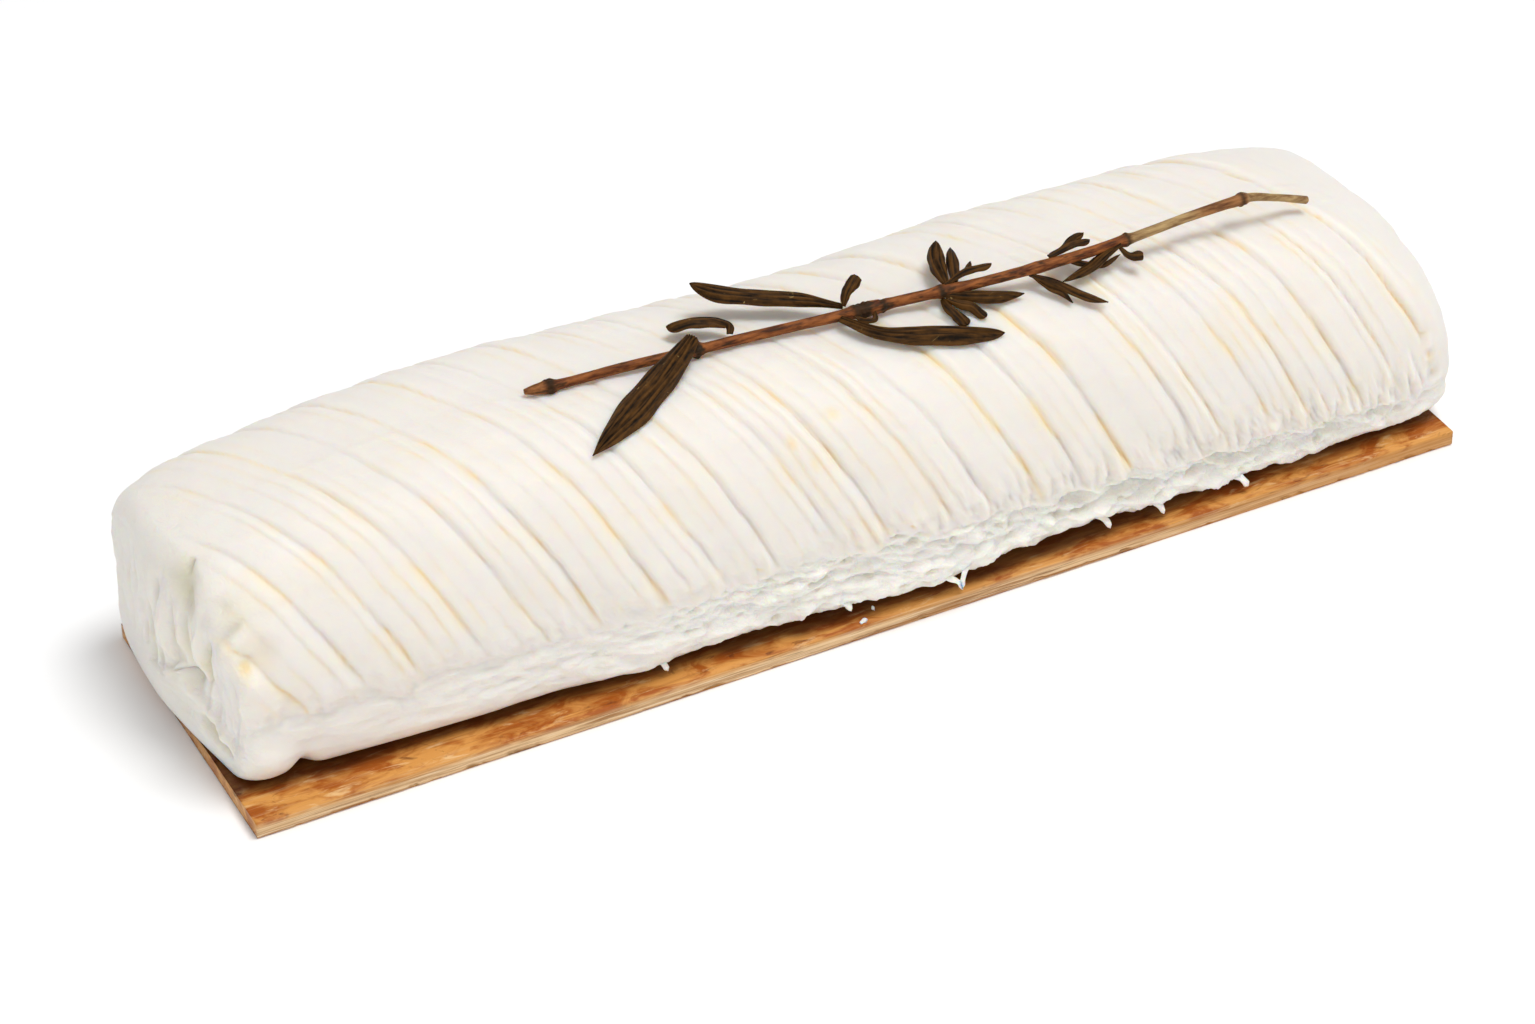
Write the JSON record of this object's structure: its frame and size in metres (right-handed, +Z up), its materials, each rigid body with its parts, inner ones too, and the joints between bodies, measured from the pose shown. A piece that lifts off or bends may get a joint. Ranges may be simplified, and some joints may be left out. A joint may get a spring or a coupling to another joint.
{
  "type": "goat cheese log",
  "caption": "Soft pleated goat cheese log lying on a thin wooden slat, with a dried herb sprig along its top.",
  "frame": {"origin": "middle of the slat's flat underside", "axes": "+X along the log, from its folded end to its smooth end; -Y towards the side whose lower edge shows torn curd; +Z up"},
  "size_m": [0.2102, 0.0532, 0.0462],
  "materials": {
    "cheese": "soft ivory cheese, matt with a faint moist sheen, whiter where it is torn",
    "wood": "sliced softwood, stained orange brown by whey, paler on its sawn edges",
    "stem": "dry woody herb stem, reddish brown and slightly ridged",
    "leaf": "dry herb leaf, dark olive brown with fine lengthwise ribs"
  },
  "bodies": {
    "root": {"wooden_slat": "wood", "cheese_log": "cheese", "sprig_stem": "stem", "leaf_01": "leaf", "leaf_02": "leaf", "leaf_03": "leaf", "leaf_04": "leaf", "leaf_05": "leaf", "leaf_06": "leaf", "leaf_07": "leaf", "leaf_08": "leaf", "leaf_09": "leaf", "leaf_10": "leaf", "leaf_11": "leaf", "leaf_12": "leaf", "leaf_13": "leaf", "leaf_14": "leaf", "leaf_15": "leaf", "leaf_16": "leaf", "leaf_17": "leaf", "leaf_18": "leaf", "leaf_19": "leaf"}
  },
  "joints": []
}
